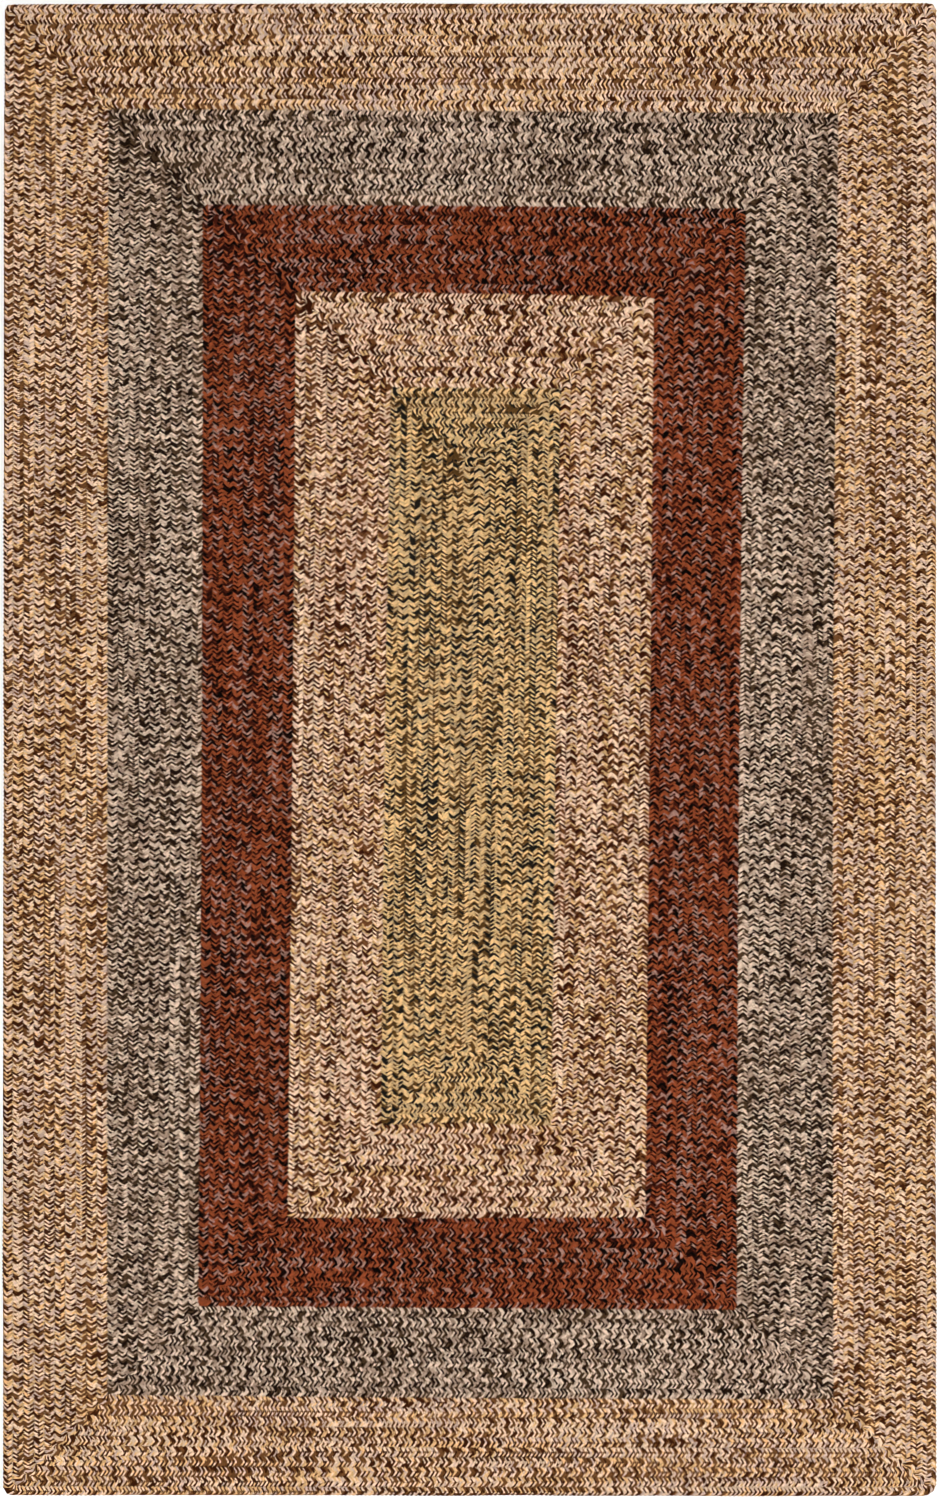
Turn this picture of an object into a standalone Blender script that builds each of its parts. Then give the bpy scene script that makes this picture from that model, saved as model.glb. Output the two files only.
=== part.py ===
"""A rectangular braided floor rug, lying flat.

One braid, changed five times for another colour, is wound round and round a middle
line and sewn to itself edge to edge. Each length of one colour is a flat band of
braid rounds, and is an object of its own. The rug lies in the XY plane with its top
side up: +Y is along its length, +X across it, +Z up, and Z = 0 is the floor.
"""

from collections import namedtuple

import bmesh
import bpy

MM = 0.001

# Driving sizes, in millimetres.
THICKNESS = 10.0
ROUND_GROOVE = 2.2  # how deep the seam between two rounds of braid lies
ARM_GROOVE = 1.0  # how deep the line down the middle of one braid lies
SEAM_GAP = 0.3  # between one colour's band and the next
EDGE_UNDERCUT = 2.2  # how far the round outer edge draws in at the floor
EDGE_LOW = 2.6  # height at which the outer edge first reaches its full width
EDGE_HIGH = 6.2  # height at which it starts to draw in again
INNER_CORNER = 5.0  # corner radius of every line inside the outline
LONG_STEPS = 4  # straight stretches along a long side
SHORT_STEPS = 2  # and along a short one

# Where the braid changes colour, as distances in millimetres from the rug's middle.
# Each side has three: at its upper or left end, half way along, and at its other end.
# The sewing pulled the bands a little out of square, so no two are quite alike.
Line = namedtuple(
    "Line",
    "left_upper left_mid left_lower right_upper right_mid right_lower "
    "upper_left upper_mid upper_right lower_left lower_mid lower_right",
)
OUTLINE = Line(760, 762, 762, 762, 761, 762, 1218, 1219, 1219, 1218, 1219, 1219)
TAN_TO_GREY = Line(590, 592, 592, 600, 592, 598, 1048, 1045, 1041, 1053, 1057, 1059)
GREY_TO_RUST = Line(436, 438, 444, 450, 440, 437, 890, 889, 884, 907, 910, 914)
RUST_TO_BEIGE = Line(285, 290, 298, 300, 292, 286, 749, 745, 738, 764, 765, 764)
BEIGE_TO_GOLD = Line(129, 139, 145, 147, 139, 133, 591, 590, 588, 613, 610, 615)
MIDDLE_LINE = Line(-7, -2, 6, 7, 2, -6, 465, 465, 465, 482, 482, 482)

# The outline's corner radii, in millimetres.
Corners = namedtuple("Corners", "upper_left lower_left lower_right upper_right")
OUTLINE_CORNERS = Corners(10, 15, 22, 12)
INNER_CORNERS = Corners(*[INNER_CORNER] * 4)
NO_CORNERS = Corners(0, 0, 0, 0)

# One row for each length of braid, from the outside in.
Band = namedtuple("Band", "name rounds outer outer_corners inner inner_corners colour")
BANDS = (
    Band("outer_tan_band", 10, OUTLINE, OUTLINE_CORNERS,
         TAN_TO_GREY, INNER_CORNERS, (0.36, 0.24, 0.15)),
    Band("grey_band", 9, TAN_TO_GREY, INNER_CORNERS,
         GREY_TO_RUST, INNER_CORNERS, (0.25, 0.21, 0.17)),
    Band("rust_band", 9, GREY_TO_RUST, INNER_CORNERS,
         RUST_TO_BEIGE, INNER_CORNERS, (0.14, 0.05, 0.03)),
    Band("inner_beige_band", 9, RUST_TO_BEIGE, INNER_CORNERS,
         BEIGE_TO_GOLD, INNER_CORNERS, (0.34, 0.22, 0.14)),
    Band("gold_centre", 8, BEIGE_TO_GOLD, INNER_CORNERS,
         MIDDLE_LINE, NO_CORNERS, (0.36, 0.24, 0.09)),
)


def clear_scene():
    for thing in list(bpy.data.objects):
        bpy.data.objects.remove(thing)


def bow(first, middle, last, t):
    """The value at t along a side, on the parabola through its three values."""
    return (
        first * (1 - t) * (1 - 2 * t)
        + middle * 4 * t * (1 - t)
        + last * t * (2 * t - 1)
    )


def corner_points(line):
    """The line's four sharp corners, counterclockwise from the upper left."""
    return (
        (-line.left_upper, line.upper_left),
        (-line.left_lower, -line.lower_left),
        (line.right_lower, -line.lower_right),
        (line.right_upper, line.upper_right),
    )


def side_point(line, side, t):
    """The point at t along one side, the sides following the corners' order."""
    start = corner_points(line)[side]
    end = corner_points(line)[(side + 1) % 4]
    x = start[0] + (end[0] - start[0]) * t
    y = start[1] + (end[1] - start[1]) * t
    if side == 0:
        x = -bow(line.left_upper, line.left_mid, line.left_lower, t)
    elif side == 1:
        y = -bow(line.lower_left, line.lower_mid, line.lower_right, t)
    elif side == 2:
        x = bow(line.right_lower, line.right_mid, line.right_upper, t)
    else:
        y = bow(line.upper_right, line.upper_mid, line.upper_left, t)
    return x, y


def side_length(line, side):
    start = corner_points(line)[side]
    end = corner_points(line)[(side + 1) % 4]
    return ((end[0] - start[0]) ** 2 + (end[1] - start[1]) ** 2) ** 0.5


def loop_points(line, corners):
    """A closed loop along the line, with its corners rounded."""
    points = []
    for side in range(4):
        length = side_length(line, side)
        before = corners[side] / length if length else 0
        after = corners[(side + 1) % 4] / length if length else 0
        steps = LONG_STEPS if side % 2 == 0 else SHORT_STEPS
        for i in range(steps + 1):
            t = before + (1 - before - after) * i / steps
            points.append(side_point(line, side, t))
        # The rounding's middle point lies half way between its chord and the corner.
        corner = corner_points(line)[(side + 1) % 4]
        next_length = side_length(line, (side + 1) % 4)
        next_start = corners[(side + 1) % 4] / next_length if next_length else 0
        onward = side_point(line, (side + 1) % 4, next_start)
        points.append(
            tuple((points[-1][k] + 2 * corner[k] + onward[k]) / 4 for k in range(2))
        )
    return points


def band_loops(band):
    """The loops of points that the band's surface runs through, from the floor at its
    outer edge, over its top, to the floor at its inner edge."""
    outer = loop_points(band.outer, band.outer_corners)
    inner = loop_points(band.inner, band.inner_corners)
    width = band.outer.left_mid - band.inner.left_mid
    half_gap = SEAM_GAP / 2 / width
    seam = THICKNESS - ROUND_GROOVE

    def loop(across, height):
        """across runs from 0 on the outer line to 1 on the inner line."""
        return [
            (
                (a[0] + (b[0] - a[0]) * across) * MM,
                (a[1] + (b[1] - a[1]) * across) * MM,
                height * MM,
            )
            for a, b in zip(outer, inner)
        ]

    if band.outer is OUTLINE:
        loops = [
            loop(EDGE_UNDERCUT / width, 0),
            loop(0, EDGE_LOW),
            loop(0, EDGE_HIGH),
        ]
    else:
        loops = [loop(half_gap, 0), loop(half_gap, seam)]
    for number in range(band.rounds):
        if number > 0:
            loops.append(loop(number / band.rounds, seam))
        loops.append(loop((number + 0.25) / band.rounds, THICKNESS))
        loops.append(loop((number + 0.5) / band.rounds, THICKNESS - ARM_GROOVE))
        loops.append(loop((number + 0.75) / band.rounds, THICKNESS))
    if band.inner is MIDDLE_LINE:
        loops.append(loop(1, seam))
    else:
        loops.append(loop(1 - half_gap, seam))
        loops.append(loop(1 - half_gap, 0))
    return loops


def band_mesh(band):
    """Joins the band's loops with faces. A ring closes underneath, back to its first
    loop, and the centre closes on the middle line and with one face on the floor."""
    shape = bmesh.new()
    loops = [[shape.verts.new(p) for p in loop] for loop in band_loops(band)]
    count = len(loops[0])
    is_ring = band.inner is not MIDDLE_LINE
    pairs = list(zip(loops, loops[1:]))
    if is_ring:
        pairs.append((loops[-1], loops[0]))
    else:
        shape.faces.new(reversed(loops[0]))
    for first, second in pairs:
        for i in range(count):
            after = (i + 1) % count
            shape.faces.new((first[i], first[after], second[after], second[i]))
    bmesh.ops.remove_doubles(shape, verts=shape.verts, dist=0.01 * MM)
    bmesh.ops.recalc_face_normals(shape, faces=shape.faces)
    mesh = bpy.data.meshes.new(band.name)
    shape.to_mesh(mesh)
    shape.free()
    return mesh


def yarn_material(name, colour):
    material = bpy.data.materials.new(name)
    material.use_nodes = True
    shader = material.node_tree.nodes["Principled BSDF"]
    shader.inputs["Base Color"].default_value = (*colour, 1)
    shader.inputs["Roughness"].default_value = 0.9
    shader.inputs["Metallic"].default_value = 0
    return material


def build_rug():
    for band in BANDS:
        rug_part = bpy.data.objects.new(band.name, band_mesh(band))
        rug_part.data.materials.append(yarn_material(band.name + "_yarn", band.colour))
        bpy.context.scene.collection.objects.link(rug_part)


clear_scene()
build_rug()
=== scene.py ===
"""The looks of the rectangular braided rug: its braid, yarns, floor, light and camera.

The rug is one flat braid wound round and round a middle line. Here every strand of
every round is modelled. Each round is a closed tube: on top, two rows of slanted
strands with ridged backs, its outer and inner arm, and underneath, two rows of broader
folds that meet on a keel. Each strand takes one of its band's yarn colours, and a yarn
keeps its colour for a while along the braid.
"""

import math
from collections import namedtuple

import bpy
import numpy as np
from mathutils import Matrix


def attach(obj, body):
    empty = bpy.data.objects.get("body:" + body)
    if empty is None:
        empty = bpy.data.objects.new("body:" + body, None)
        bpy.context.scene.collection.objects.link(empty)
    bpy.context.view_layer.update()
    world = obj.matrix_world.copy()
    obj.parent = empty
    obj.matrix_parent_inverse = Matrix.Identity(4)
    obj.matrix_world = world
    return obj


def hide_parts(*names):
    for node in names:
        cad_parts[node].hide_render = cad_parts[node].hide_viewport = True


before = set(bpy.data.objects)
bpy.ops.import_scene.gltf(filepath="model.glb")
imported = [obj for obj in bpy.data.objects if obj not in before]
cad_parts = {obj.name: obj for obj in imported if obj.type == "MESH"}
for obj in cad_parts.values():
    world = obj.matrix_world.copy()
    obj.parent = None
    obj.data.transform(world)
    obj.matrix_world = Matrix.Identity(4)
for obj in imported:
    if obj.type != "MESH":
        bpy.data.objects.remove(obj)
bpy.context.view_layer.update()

MM = 0.001
SEED = 4508

# Where the braid changes colour, as distances in millimetres from the rug's middle.
# Each side has three: at its upper or left end, half way along, and at its other end.
Line = namedtuple(
    "Line",
    "left_upper left_mid left_lower right_upper right_mid right_lower "
    "upper_left upper_mid upper_right lower_left lower_mid lower_right",
)
OUTLINE = Line(760, 762, 762, 762, 761, 762, 1218, 1219, 1219, 1218, 1219, 1219)
TAN_TO_GREY = Line(590, 592, 592, 602, 593, 594, 1047, 1043, 1040, 1054, 1059, 1061)
GREY_TO_RUST = Line(436, 438, 444, 451, 440, 436, 890, 888, 884, 909, 912, 915)
RUST_TO_BEIGE = Line(285, 290, 298, 301, 294, 287, 749, 745, 740, 765, 765, 764)
BEIGE_TO_GOLD = Line(129, 139, 145, 148, 140, 133, 592, 591, 590, 613, 610, 615)
MIDDLE_LINE = Line(-7, -2, 6, 7, 2, -6, 461, 461, 461, 477, 477, 477)

# Corner radii in millimetres, in the order the corners are met counterclockwise.
Corners = namedtuple("Corners", "upper_left lower_left lower_right upper_right")
OUTLINE_CORNERS = Corners(10, 15, 22, 12)
INNER_CORNERS = Corners(5, 5, 5, 5)
NO_CORNERS = Corners(0.5, 0.5, 0.5, 0.5)
COSINE_45 = 0.707

# The braid's places along and across a round, in millimetres. The strands are counted
# along each round, and every second one does what the next doesn't.
PITCH = 3.4  # from one strand to the next
ROUND_WIDTH = 17.0
MITRE = 8.0  # how far from a corner the strands start to stretch and turn
LOOSENESS = 0.2  # how far strands stray from an even spacing
SWAY = 0.8  # how far neighbouring rounds are pulled along together
SWAY_LENGTH = 150.0  # the distance between places that are pulled differently
SWAY_GRID = (14, 20)  # how many such places there are, across and along the rug
DRIFT = 2.1  # how far each round strays from its neighbours, over DRIFT_LENGTH
DRIFT_LENGTH = 70.0
EDGE_DRIFT = 0.3  # how far a round's two edges stray, over EDGE_DRIFT_LENGTH
EDGE_DRIFT_LENGTH = 40.0
OVERLAP = 1.4  # how far every second strand reaches over the seam
WEAVE = 0.8  # how far strands reach past the round's middle, now one arm, now the other
RIM_TUCK = 1.9  # the outermost round is this much narrower
RIM_WAVE = 0.5  # how far the rug's edge swings in and out, over RIM_WAVE_LENGTH
RIM_WAVE_LENGTH = 120.0
RIM_TIP = 1.0  # how far every second strand stands out of the rug's edge
RIDGE_FOOT = 0.34  # where a strand's ridge starts, as a share of its length

# Heights above the floor, in millimetres.
SEAM_LOW = 7.8  # the strands by turns, where they meet another round
SEAM_HIGH = 8.8
RIDGE_HEIGHT = 9.7
RIDGE_LOOSENESS = 0.2  # how much higher or lower a ridge may be
VALLEY_HEIGHT = 8.4  # along the round's middle
KEEL_HEIGHTS = (0.0, 0.7)  # by turns, along the round's middle underneath
RIM_HEIGHT = 5.0  # the rug's edge, where top and underside meet
RIM_LOOSENESS = 0.3

# A yarn's colour in sRGB steps, and its weight in the draw among the band's dark or
# light yarns. Dark and light yarns mostly lie side by side.
Yarn = namedtuple("Yarn", "name colour weight dark")
TAN_YARNS = (
    Yarn("peach", (224, 193, 163), 28, False),
    Yarn("gold", (213, 171, 120), 16, False),
    Yarn("lilac", (196, 168, 152), 12, False),
    Yarn("brown", (105, 67, 36), 24, True),
    Yarn("umber", (57, 24, 4), 20, True),
)
GREY_YARNS = (
    Yarn("taupe", (209, 184, 162), 28, False),
    Yarn("stone", (158, 133, 115), 24, False),
    Yarn("drab", (67, 48, 31), 24, True),
    Yarn("bark", (27, 12, 4), 24, True),
)
RUST_YARNS = (
    Yarn("rust", (135, 65, 35), 36, False),
    Yarn("brick", (62, 20, 9), 16, True),
    Yarn("mauve", (154, 118, 106), 13, False),
    Yarn("dark_rust", (32, 6, 2), 16, True),
    Yarn("black_brown", (7, 2, 1), 20, True),
)
BEIGE_YARNS = (
    Yarn("cream", (229, 197, 167), 30, False),
    Yarn("pink_cream", (207, 170, 144), 12, False),
    Yarn("ochre", (203, 162, 110), 12, False),
    Yarn("brown", (103, 62, 33), 22, True),
    Yarn("umber", (52, 18, 3), 24, True),
)
GOLD_YARNS = (
    Yarn("mustard", (219, 180, 126), 34, False),
    Yarn("sand", (191, 160, 118), 18, False),
    Yarn("brown", (86, 58, 27), 26, True),
    Yarn("charcoal", (26, 21, 16), 22, True),
)

# How the colours follow one another along an arm.
SHADES = (1.15, 1.0, 0.82)  # each yarn is dyed a little unevenly
# Painted shade: where a strand dives under another, its end takes a darker copy of its yarn,
# each yarn's last material.
TUCKED_PAINTED_SHADE = 0.65  # where a strand dives under another
MATERIALS_PER_YARN = len(SHADES) + 1  # materials for each yarn, the tucked one last
DARK_CHANCE = 0.95  # the chance that a strand is dark when none is near it
BESIDE_DARK = 0.36  # how much less that is for each dark strand beside it
NEAR_DARK = 0.09  # and for each dark strand two away
KEEP_COLOUR = 0.7  # the chance that a strand still has its colour one repeat later

# The yarn's surface.
SPECULAR = 0.05
ROUGHNESS = (0.8, 1.0)
FIBRE_SCALE = 1000  # tufts of fibre in a metre
FIBRE_DETAIL = 3
FIBRE_STRENGTH = 0.6
FIBRE_DEPTH = 0.001  # in metres
MOST_REFLECTED = 0.95  # no colour is lighter than this

# One row for each length of braid, from the outside in. The repeat is its number of
# strands, and the slant is how far they trail along the round for each unit across it.
# The scene makes a long band in more than one piece, each of so many rounds.
Band = namedtuple(
    "Band",
    "node slot rounds repeat slant outer outer_corners inner inner_corners yarns pieces",
)
BANDS = (
    Band("outer_tan_band", "tan_yarn", 10, 8, 0.72, OUTLINE, OUTLINE_CORNERS,
         TAN_TO_GREY, INNER_CORNERS, TAN_YARNS, (5, 5)),
    Band("grey_band", "grey_yarn", 9, 9, 0.75, TAN_TO_GREY, INNER_CORNERS,
         GREY_TO_RUST, INNER_CORNERS, GREY_YARNS, (5, 4)),
    Band("rust_band", "rust_yarn", 9, 9, 0.82, GREY_TO_RUST, INNER_CORNERS,
         RUST_TO_BEIGE, INNER_CORNERS, RUST_YARNS, (9,)),
    Band("inner_beige_band", "beige_yarn", 9, 9, 0.82, RUST_TO_BEIGE, INNER_CORNERS,
         BEIGE_TO_GOLD, INNER_CORNERS, BEIGE_YARNS, (9,)),
    Band("gold_centre", "gold_yarn", 8, 8, 0.82, BEIGE_TO_GOLD, INNER_CORNERS,
         MIDDLE_LINE, NO_CORNERS, GOLD_YARNS, (8,)),
)

# The studio, in metres.
FLOOR_REACH = 60
FLOOR_TONE = 0.9
FLOOR_ROUGHNESS = 0.9
SKY_STRENGTH = 0.38
SOFTBOX_SIZE = 5
SOFTBOX_WATTS = 1190
SOFTBOX_PLACE = (1.8, -2.0, 11)
SOFTBOX_TILT = (10, 9)  # in degrees about X and Y

# The camera. Its view is the photograph's, which is measured in pixels.
PIXEL = 1.6335 * MM  # the size of one on the rug's top
PIXELS_HIGH = 1500
EYE_RIGHT = 0.15  # from the rug's middle, in pixels
EYE_UP = -0.35
RUG_TOP = 0.009  # in metres
LENS = 85  # in millimetres, like the sensor
SENSOR = 36
FILTER_WIDTH = 0.5  # in pixels, for a picture as sharp as the photograph


def line_at(band, across):
    """The values of the line at this share of the way across a band, and its corners."""
    line = [a + (b - a) * across for a, b in zip(band.outer, band.inner)]
    corners = [
        a + (b - a) * across for a, b in zip(band.outer_corners, band.inner_corners)
    ]
    return Line(*line), corners


def bow(first, middle, last, t):
    """The value at t along a side, on the parabola through its three values."""
    return (
        first * (1 - t) * (1 - 2 * t)
        + middle * 4 * t * (1 - t)
        + last * t * (2 * t - 1)
    )


def corner_points(line):
    """The line's four sharp corners, counterclockwise from the upper left."""
    return (
        (-line.left_upper, line.upper_left),
        (-line.left_lower, -line.lower_left),
        (line.right_lower, -line.lower_right),
        (line.right_upper, line.upper_right),
    )


# The left, lower, right and upper side: the axis that each runs along, its direction
# of travel along it, and which way is outward across it.
SIDE_AXIS = (1, 0, 1, 0)
SIDE_SIGN = (-1, 1, 1, -1)
OUTWARD = (-1, -1, 1, 1)


def side_offset(line, side, t):
    """The coordinate across one side, at t along it."""
    if side == 0:
        return -bow(line.left_upper, line.left_mid, line.left_lower, t)
    if side == 1:
        return -bow(line.lower_left, line.lower_mid, line.lower_right, t)
    if side == 2:
        return bow(line.right_lower, line.right_mid, line.right_upper, t)
    return bow(line.upper_right, line.upper_mid, line.upper_left, t)


class Round:
    """One round of braid, as places measured along its middle line."""

    def __init__(self, band, number):
        self.band = band
        self.number = number
        middle, _ = line_at(band, (number + 0.5) / band.rounds)
        corners = corner_points(middle)
        self.starts = np.array([
            corners[side][SIDE_AXIS[side]] * SIDE_SIGN[side] for side in range(4)
        ])
        self.ends = np.array([
            corners[(side + 1) % 4][SIDE_AXIS[side]] * SIDE_SIGN[side]
            for side in range(4)
        ])
        self.lengths = self.ends - self.starts
        self.turns = np.concatenate(([0], np.cumsum(self.lengths)))
        self.length = self.turns[-1]

    def place(self, across, along):
        """Points at shares across this round, and at distances along its middle line.
        Near a corner the strands stretch, so that they meet on the mitre. The outermost
        round is tucked in, and the rest of its band widens to make up for it."""
        along = np.mod(along, self.length)
        depth = self.number + np.broadcast_to(across, along.shape)
        if self.band.outer is OUTLINE:
            tuck = RIM_TUCK / ROUND_WIDTH * np.clip(2 * depth, 0, 1)
            depth = depth - tuck * (1 - depth / self.band.rounds)
        points = np.zeros((len(along), 2))
        side_of = np.clip(np.searchsorted(self.turns, along, "right") - 1, 0, 3)
        for side in range(4):
            these = side_of == side
            line, radii = line_at(self.band, depth[these] / self.band.rounds)
            points[these] = self.on_side(line, radii, side, along[these] - self.turns[side])
        return points

    def on_side(self, line, radii, side, distance):
        """Points on one side of the line through each of them, at distances from the
        side's start along this round's middle line."""
        axis = SIDE_AXIS[side]
        sign = SIDE_SIGN[side]
        corners = corner_points(line)
        own_start = corners[side][axis] * sign
        own_end = corners[(side + 1) % 4][axis] * sign
        reach = min(MITRE, self.lengths[side] / 2)
        share = np.minimum(distance / reach, 1)
        start = own_start + (self.starts[side] + reach - own_start) * share
        travel = start + np.maximum(distance - reach, 0)
        left = self.lengths[side] - distance
        end = own_end + (self.ends[side] - reach - own_end) * left / reach
        travel = np.where(left < reach, end, travel)
        inward = np.zeros(len(distance))
        for radius, room, turn in (
            (radii[side], travel - own_start, 1),
            (radii[(side + 1) % 4], own_end - travel, -1),
        ):
            # Within a corner's radius, the point slides along and inward to its arc.
            reached = (1 - COSINE_45) * radius + np.maximum(room, 0) * COSINE_45
            depth = radius - np.sqrt(
                np.maximum(radius ** 2 - (radius - reached) ** 2, 0)
            )
            travel = travel + np.where(room < radius, (reached - room) * turn, 0)
            inward = inward + np.where(room < radius, depth, 0)
        t = np.clip((travel - own_start) / np.maximum(own_end - own_start, 1), 0, 1)
        points = np.zeros((len(distance), 2))
        points[:, axis] = travel * sign
        points[:, 1 - axis] = side_offset(line, side, t) - OUTWARD[side] * inward
        return points


def strand_colours(band, count, random):
    """The material of each strand along one arm of a round, by its place in the band's
    list. The same strands come round again in each repeat, and change colour now and
    then. Dark and light strands mostly take turns."""
    weights = np.array([yarn.weight for yarn in band.yarns], float)
    dark = np.array([yarn.dark for yarn in band.yarns])
    of_kind = [weights * (dark == kind) for kind in (False, True)]
    of_kind = [np.cumsum(kind) / kind.sum() for kind in of_kind]
    draws = random.random((count, 4))
    sequence = np.zeros(count, int)
    is_dark = np.zeros(count, int)
    for i in range(count):
        keep, kind, which, shade = draws[i]
        old = i - band.repeat
        if old >= 0 and keep < KEEP_COLOUR:
            sequence[i] = sequence[old]
            is_dark[i] = is_dark[old]
            continue
        beside = is_dark[i - 1] + is_dark[old + 1]
        near = is_dark[i - 2] + is_dark[old + 2]
        chance = DARK_CHANCE - BESIDE_DARK * beside - NEAR_DARK * near
        is_dark[i] = kind < chance
        yarn = int(np.searchsorted(of_kind[is_dark[i]], which))
        sequence[i] = yarn * MATERIALS_PER_YARN + int(shade * len(SHADES))
    return sequence


def smooth(share):
    """A share from 0 to 1 that starts and ends gently."""
    return share * share * (3 - 2 * share)


def drift(length, along, amount, spacing, random):
    """A slow wander along a closed round, at the places given."""
    knots = max(4, int(length / spacing))
    values = random.normal(0, amount, knots)
    at = np.mod(along, length) / length * knots
    before = np.floor(at).astype(int)
    share = smooth(at - before)
    return values[before % knots] * (1 - share) + values[(before + 1) % knots] * share


def sway(points):
    """How far the strands at these points are shifted along, the same in every round."""
    values = np.random.default_rng(SEED).normal(0, SWAY, SWAY_GRID)
    place = points / SWAY_LENGTH + np.array(SWAY_GRID) / 2
    x, y = np.floor(place).astype(int).T
    across, up = smooth(place - np.floor(place)).T
    low = values[x, y] * (1 - across) + values[x + 1, y] * across
    high = values[x, y + 1] * (1 - across) + values[x + 1, y + 1] * across
    return low * (1 - up) + high * up


class Braid:
    """One round's points and faces, as arrays. Rows of points run along it: its outer
    edge, middle and inner edge, the two ends of every strand's ridge in each arm, and
    underneath, between the edges, a keel with a point for every two strands. A lobe is
    one strand's back or one fold underneath, whose faces are shaded as one round form."""

    def __init__(self, turn, is_rim, random):
        self.turn = turn
        self.random = random
        self.count = 2 * int(round(turn.length / PITCH / 2))
        self.pitch = turn.length / self.count
        self.steps = np.arange(self.count)
        self.points = []
        self.rows = {}
        self.faces = []
        self.yarns = []
        self.tucked = []
        self.lobes = []
        self.add_points(is_rim)
        for arm, side in enumerate(("outer", "inner")):
            self.cover_top(arm, side)
            self.cover_underside(arm, side)

    def wander(self, amount, spacing):
        """A slow change along the round, for each strand."""
        along = self.steps * self.pitch
        return drift(self.turn.length, along, amount, spacing, self.random)

    def loose(self, amount):
        """A small random change for each strand."""
        return np.clip(self.random.normal(0, amount, self.count), -2 * amount, 2 * amount)

    def add_points(self, is_rim):
        """Every row of points. At the edges the strands lag behind, by the band's slant."""
        second = self.steps % 2 == 0
        lag = self.turn.band.slant * ROUND_WIDTH / 2
        even = self.steps * self.pitch
        even = even + sway(self.turn.place(0.5, even)) + self.wander(DRIFT, DRIFT_LENGTH)
        centre = even + self.loose(LOOSENESS)
        outer = even - lag + self.wander(EDGE_DRIFT, EDGE_DRIFT_LENGTH) + self.loose(LOOSENESS)
        inner = even - lag + self.wander(EDGE_DRIFT, EDGE_DRIFT_LENGTH) + self.loose(LOOSENESS)
        overlap = np.where(second, OVERLAP, 0) / ROUND_WIDTH
        seam_height = np.where(second, SEAM_HIGH, SEAM_LOW)
        edge = -overlap
        edge_height = seam_height
        if is_rim:
            tip = np.where(second, RIM_TIP, 0)
            edge = (self.wander(RIM_WAVE, RIM_WAVE_LENGTH) - tip) / ROUND_WIDTH
            edge_height = RIM_HEIGHT + self.loose(RIM_LOOSENESS)
        weave = np.where(second, WEAVE, -WEAVE) / ROUND_WIDTH
        self.add_row("outer", edge, outer, edge_height)
        self.add_row("inner", 1 + overlap, inner, seam_height)
        self.add_row("centre", 0.5 + weave, centre, VALLEY_HEIGHT)
        self.add_ridge("outer", 0, outer, centre)
        self.add_ridge("inner", 1, inner, centre)
        keel_height = np.where(self.steps[::2] % 4 == 0, *KEEL_HEIGHTS)
        self.add_row("keel", 0.5, centre[::2], keel_height)

    def add_ridge(self, side, edge_across, edge, centre):
        """The two ends of each strand's ridge, half way to the next strand."""
        for end, share in (("_foot", RIDGE_FOOT), ("_head", 1 - RIDGE_FOOT)):
            across = edge_across + (0.5 - edge_across) * share
            beside = edge + (centre - edge) * share
            after = np.append(beside[1:], beside[0] + self.turn.length)
            height = RIDGE_HEIGHT + self.loose(RIDGE_LOOSENESS)
            self.add_row(side + end, across, (beside + after) / 2, height)

    def add_row(self, name, across, along, height):
        """Points at shares across the round, at distances along it and at heights."""
        self.rows[name] = sum(len(row) for row in self.points)
        flat = self.turn.place(across, along)
        self.points.append(np.column_stack((flat, np.broadcast_to(height, len(flat)))))

    def row(self, name, shift=0, pairs=False):
        """A row's points, each taken this many places on. The keel's are for pairs."""
        count = self.count // 2 if pairs else self.count
        return self.rows[name] + (np.arange(count) + shift) % count

    def cover_top(self, arm, side):
        """Six triangles for each strand of one arm. At the edge, every second strand
        lies over the seam and shows the next one's yarn, and at the middle, every second
        one is crossed by the other arm's. The others are tucked under there."""
        edge, edge_next = self.row(side), self.row(side, 1)
        middle, middle_next = self.row("centre"), self.row("centre", 1)
        foot, head = self.row(side + "_foot"), self.row(side + "_head")
        own = self.steps
        over = own % 2 == 0
        foot_yarn = (own + over) % self.count
        crossed = own % 2 == arm
        across = self.count if arm == 0 else -self.count
        head_yarn = own + np.where(crossed, across, 0)
        # Triangles marked tucked are coloured with painted shade, a darker copy of their yarn
        # where the strand dives under.
        self.cover(arm, foot_yarn, own, edge, edge_next, foot, tucked=~over)
        self.cover(arm, own, own, edge_next, middle_next, head)
        self.cover(arm, own, own, edge_next, head, foot)
        self.cover(arm, head_yarn, own, middle_next, middle, head, tucked=~crossed)
        self.cover(arm, own, own, middle, edge, foot)
        self.cover(arm, own, own, middle, foot, head)

    def cover_underside(self, arm, side):
        """Three triangles for every two strands of one arm, from its edge to the keel."""
        first = self.steps[::2]
        edges = [self.row(side, shift)[::2] for shift in range(3)]
        keel = self.row("keel", pairs=True)
        keel_next = self.row("keel", 1, pairs=True)
        lobe = self.count + first
        self.cover(arm, first, lobe, edges[1], edges[0], keel)
        self.cover(arm, first, lobe, keel, keel_next, edges[1])
        self.cover(arm, first + 1, lobe, edges[2], edges[1], keel_next)

    def cover(self, arm, yarn, lobe, *corners, tucked=False):
        """Adds a row of triangles, with the strand whose yarn each shows, the lobe that
        it is part of, and whether it is tucked under another strand."""
        self.faces.append(np.column_stack(corners[::-1] if arm else corners))
        self.yarns.append(yarn + arm * self.count)
        self.tucked.append(np.broadcast_to(tucked, len(yarn)))
        self.lobes.append(lobe + arm * self.count * 2)


def linear(step):
    """An sRGB step from 0 to 255 as a linear value."""
    value = step / 255
    if value <= 0.04045:
        return value / 12.92
    return ((value + 0.055) / 1.055) ** 2.4


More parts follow.
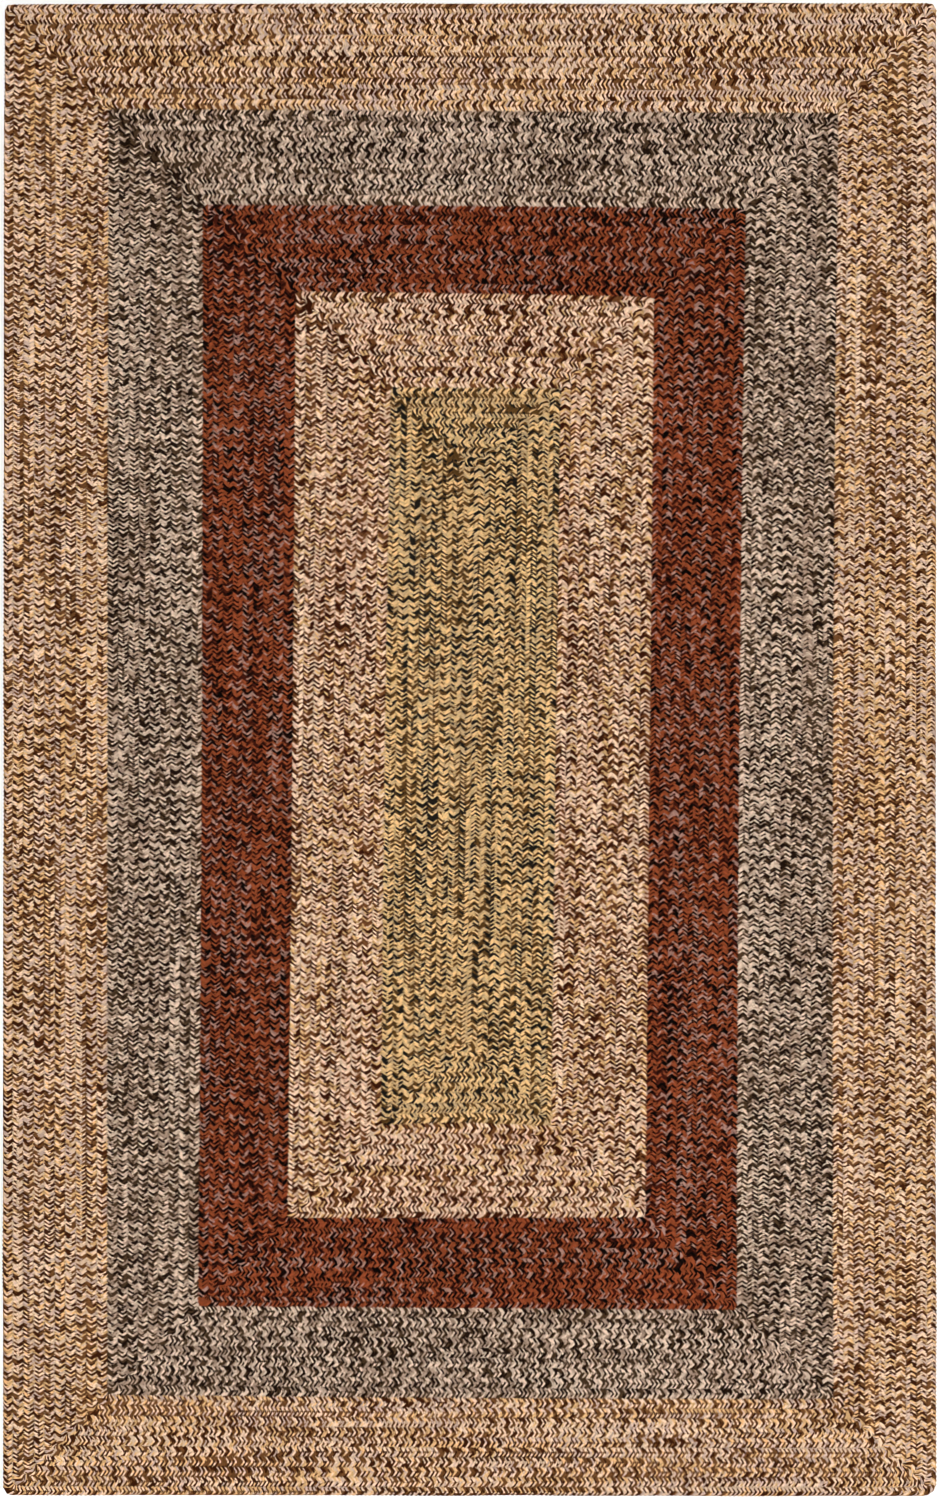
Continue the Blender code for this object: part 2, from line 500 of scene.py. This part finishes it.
def yarn_material(name, colour, shade):
    """Matt yarn, rough with fine fibres."""
    material = bpy.data.materials.new(name)
    material.use_nodes = True
    nodes = material.node_tree.nodes
    links = material.node_tree.links
    shader = nodes["Principled BSDF"]
    base = [min(MOST_REFLECTED, linear(step) * shade) for step in colour]
    shader.inputs["Base Color"].default_value = (*base, 1)
    shader.inputs["Specular IOR Level"].default_value = SPECULAR
    place = nodes.new("ShaderNodeTexCoord")
    fibres = nodes.new("ShaderNodeTexNoise")
    fibres.inputs["Scale"].default_value = FIBRE_SCALE
    fibres.inputs["Detail"].default_value = FIBRE_DETAIL
    links.new(place.outputs["Object"], fibres.inputs["Vector"])
    bump = nodes.new("ShaderNodeBump")
    bump.inputs["Strength"].default_value = FIBRE_STRENGTH
    bump.inputs["Distance"].default_value = FIBRE_DEPTH
    links.new(fibres.outputs["Fac"], bump.inputs["Height"])
    links.new(bump.outputs["Normal"], shader.inputs["Normal"])
    rough = nodes.new("ShaderNodeMapRange")
    rough.inputs["To Min"].default_value = ROUGHNESS[0]
    rough.inputs["To Max"].default_value = ROUGHNESS[1]
    links.new(fibres.outputs["Fac"], rough.inputs["Value"])
    links.new(rough.outputs["Result"], shader.inputs["Roughness"])
    return material


def braid_rounds(band, first, rounds, random):
    """The points, faces, material of each face and lobe of each face of some rounds."""
    points = []
    faces = []
    dyes_and_painted_shade = []
    lobes = []
    point_count = 0
    lobe_count = 0
    for number in range(first, first + rounds):
        is_rim = band.outer is OUTLINE and number == 0
        braid = Braid(Round(band, number), is_rim, random)
        arms = [strand_colours(band, braid.count, random) for _ in range(2)]
        shown = np.concatenate(arms)[np.concatenate(braid.yarns)]
        # Tucked triangles take their yarn's last material, which is painted shade.
        painted_shade_index = shown - shown % MATERIALS_PER_YARN + len(SHADES)
        dyes_and_painted_shade.append(np.where(np.concatenate(braid.tucked), painted_shade_index, shown))
        lobes.append(np.concatenate(braid.lobes) + lobe_count)
        faces += [face + point_count for face in braid.faces]
        points += braid.points
        point_count += sum(len(row) for row in braid.points)
        lobe_count += 4 * braid.count  # backs and folds, in two arms
    return [np.concatenate(arrays) for arrays in (points, faces, dyes_and_painted_shade, lobes)]


def make_piece(band, first, rounds, name, materials, random):
    """Some rounds of a band as one mesh."""
    points, faces, dyes_and_painted_shade, lobes = braid_rounds(band, first, rounds, random)
    mesh = bpy.data.meshes.new(name)
    mesh.vertices.add(len(points))
    mesh.vertices.foreach_set("co", (points * MM).ravel())
    mesh.loops.add(faces.size)
    mesh.loops.foreach_set("vertex_index", faces.ravel())
    mesh.polygons.add(len(faces))
    mesh.polygons.foreach_set("loop_start", np.arange(0, faces.size, 3))
    for material in materials:
        mesh.materials.append(material)
    mesh.polygons.foreach_set("material_index", dyes_and_painted_shade.astype(np.int32))
    mesh.update(calc_edges=True)
    crease_between(mesh, lobes)
    mesh.validate()
    piece = bpy.data.objects.new(name, mesh)
    bpy.context.scene.collection.objects.link(piece)
    return piece


def crease_between(mesh, lobes):
    """Shades each lobe round, with a crease where it meets another."""
    edge_of = np.zeros(len(mesh.loops), np.int32)
    mesh.loops.foreach_get("edge_index", edge_of)
    lobe_of = np.repeat(lobes, 3)
    lobe_at = np.zeros(len(mesh.edges), int)
    lobe_at[edge_of] = lobe_of
    sharp = np.zeros(len(mesh.edges), bool)
    sharp[edge_of[lobe_at[edge_of] != lobe_of]] = True
    creases = mesh.attributes.new("sharp_edge", "BOOLEAN", "EDGE")
    creases.data.foreach_set("value", sharp)


def dress():
    """Lays the braid in place of every band of the frame."""
    random = np.random.default_rng(SEED)
    for band in BANDS:
        # Each yarn's unevenly dyed copies, then one darkened copy as painted shade for tucked
        # strand ends.
        materials = [
            yarn_material(f"{band.slot}_{yarn.name}_{i}", yarn.colour, shade)
            for yarn in band.yarns
            for i, shade in enumerate((*SHADES, TUCKED_PAINTED_SHADE))
        ]
        first = 0
        for number, rounds in enumerate(band.pieces):
            name = f"{band.node}_braid_{number + 1}"
            piece = make_piece(band, first, rounds, name, materials, random)
            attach(piece, "root")
            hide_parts(band.node)
            first += rounds


def make_floor():
    """A pale floor, so wide that low views don't show its end."""
    reach = FLOOR_REACH
    mesh = bpy.data.meshes.new("floor")
    mesh.from_pydata(
        [(-reach, -reach, 0), (reach, -reach, 0), (reach, reach, 0), (-reach, reach, 0)],
        [], [(0, 1, 2, 3)],
    )
    floor = bpy.data.objects.new("floor", mesh)
    bpy.context.scene.collection.objects.link(floor)
    material = bpy.data.materials.new("pale_floor")
    material.use_nodes = True
    shader = material.node_tree.nodes["Principled BSDF"]
    shader.inputs["Base Color"].default_value = (FLOOR_TONE, FLOOR_TONE, FLOOR_TONE, 1)
    shader.inputs["Roughness"].default_value = FLOOR_ROUGHNESS
    mesh.materials.append(material)


def make_light():
    """One broad soft light above, a little to the lower right, and a pale sky."""
    world = bpy.data.worlds.new("studio")
    bpy.context.scene.world = world
    world.use_nodes = True
    background = world.node_tree.nodes["Background"]
    background.inputs["Color"].default_value = (1, 1, 1, 1)
    background.inputs["Strength"].default_value = SKY_STRENGTH
    light = bpy.data.lights.new("softbox", "AREA")
    light.shape = "DISK"
    light.size = SOFTBOX_SIZE
    light.energy = SOFTBOX_WATTS
    lamp = bpy.data.objects.new("softbox", light)
    lamp.location = SOFTBOX_PLACE
    tilt_x, tilt_y = SOFTBOX_TILT
    lamp.rotation_euler = (math.radians(tilt_x), math.radians(tilt_y), 0)
    bpy.context.scene.collection.objects.link(lamp)


def make_camera():
    """Straight above, with the rug where the photograph has it."""
    camera = bpy.data.cameras.new("camera")
    camera.lens = LENS
    camera.sensor_width = SENSOR
    half = camera.sensor_width / 2 / camera.lens
    height = PIXELS_HIGH * PIXEL / 2 / half + RUG_TOP
    eye = bpy.data.objects.new("camera", camera)
    eye.location = (EYE_RIGHT * PIXEL, EYE_UP * PIXEL, height)
    scene = bpy.context.scene
    scene.collection.objects.link(eye)
    scene.camera = eye
    scene.view_settings.view_transform = "Standard"
    scene.cycles.filter_width = FILTER_WIDTH


make_camera()
make_light()
make_floor()
dress()
